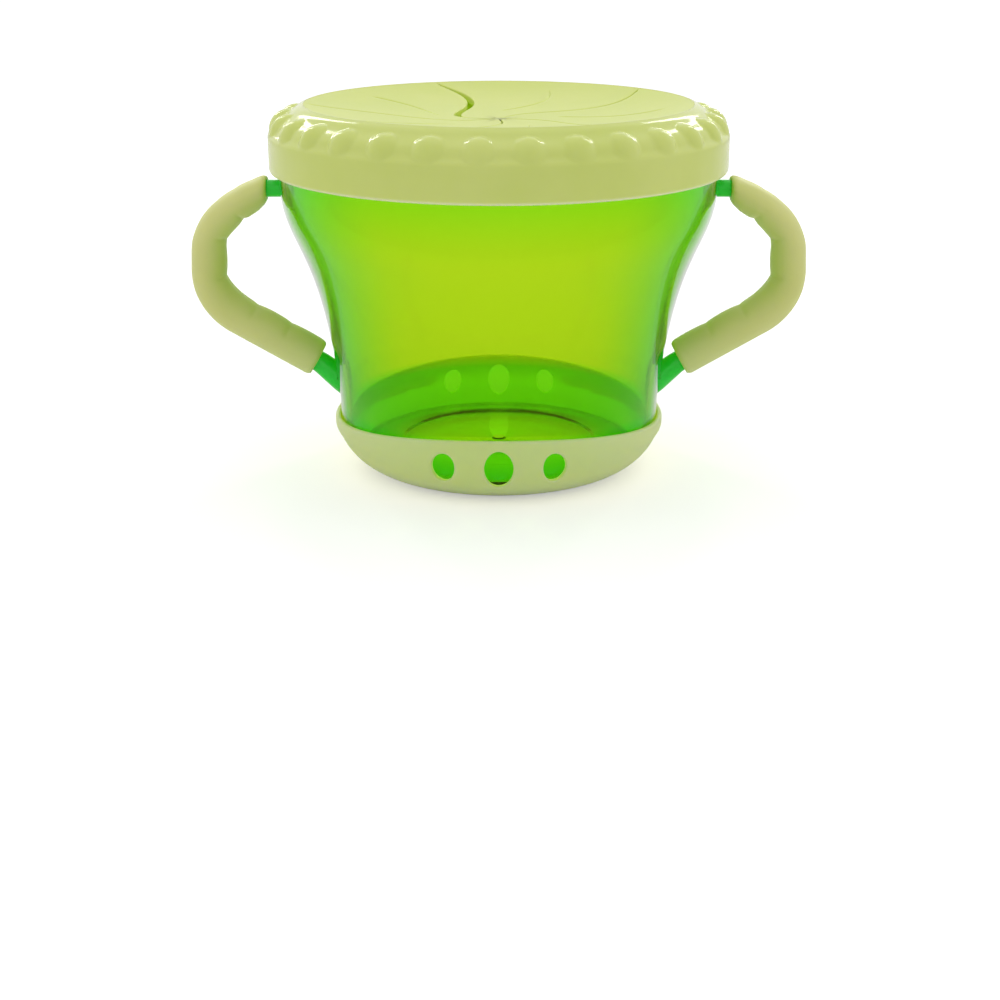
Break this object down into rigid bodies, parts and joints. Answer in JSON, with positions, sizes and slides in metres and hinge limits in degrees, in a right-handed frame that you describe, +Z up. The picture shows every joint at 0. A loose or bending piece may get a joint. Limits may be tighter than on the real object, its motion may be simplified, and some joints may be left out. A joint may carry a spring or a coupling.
{
  "type": "toddler snack container",
  "caption": "Flared clear cup with gripped side handles, a soft foot boot, and a press-fit lid whose dished top is slit into leaves that a small hand pushes through.",
  "frame": {"origin": "on the table under the middle of the cup, at the bottom of the soft boot", "axes": "+Z up through the lid, +X through the right handle, -Y towards the front"},
  "size_m": [0.1378, 0.1, 0.081],
  "materials": {
    "cup": "clear lime, see-through",
    "grip": "soft satin",
    "boot": "soft satin",
    "lid": "soft, glossy"
  },
  "bodies": {
    "vessel": {"cup": "cup", "left_grip": "grip", "right_grip": "grip", "base_boot": "boot"},
    "lid": {"lid_ring": "lid"},
    "leaf_1": {"leaf_1": "lid"},
    "leaf_2": {"leaf_2": "lid"},
    "leaf_3": {"leaf_3": "lid"},
    "leaf_4": {"leaf_4": "lid"},
    "leaf_5": {"leaf_5": "lid"}
  },
  "joints": [
    {"name": "lid_lift", "type": "slide", "parent": "vessel", "child": "lid", "axis": [0, 0, 1], "range_m": [0, 0.05]},
    {"name": "leaf_1_bend", "type": "hinge", "parent": "lid", "child": "leaf_1", "pos_m": [0.00869, 0.03243, 0.07921], "axis": [-0.9659, 0.2588, 0], "range_deg": [-45, 10], "stiffness_Nm_per_rad": 0.06},
    {"name": "leaf_2_bend", "type": "hinge", "parent": "lid", "child": "leaf_2", "pos_m": [-0.02816, 0.01829, 0.07921], "axis": [-0.5446, -0.8387, 0], "range_deg": [-45, 10], "stiffness_Nm_per_rad": 0.06},
    {"name": "leaf_3_bend", "type": "hinge", "parent": "lid", "child": "leaf_3", "pos_m": [-0.02609, -0.02113, 0.07921], "axis": [0.6293, -0.7771, 0], "range_deg": [-45, 10], "stiffness_Nm_per_rad": 0.06},
    {"name": "leaf_4_bend", "type": "hinge", "parent": "lid", "child": "leaf_4", "pos_m": [0.01203, -0.03134, 0.07921], "axis": [0.9336, 0.3584, 0], "range_deg": [-45, 10], "stiffness_Nm_per_rad": 0.06},
    {"name": "leaf_5_bend", "type": "hinge", "parent": "lid", "child": "leaf_5", "pos_m": [0.03353, 0.00176, 0.07921], "axis": [-0.0523, 0.9986, 0], "range_deg": [-45, 10], "stiffness_Nm_per_rad": 0.06}
  ]
}
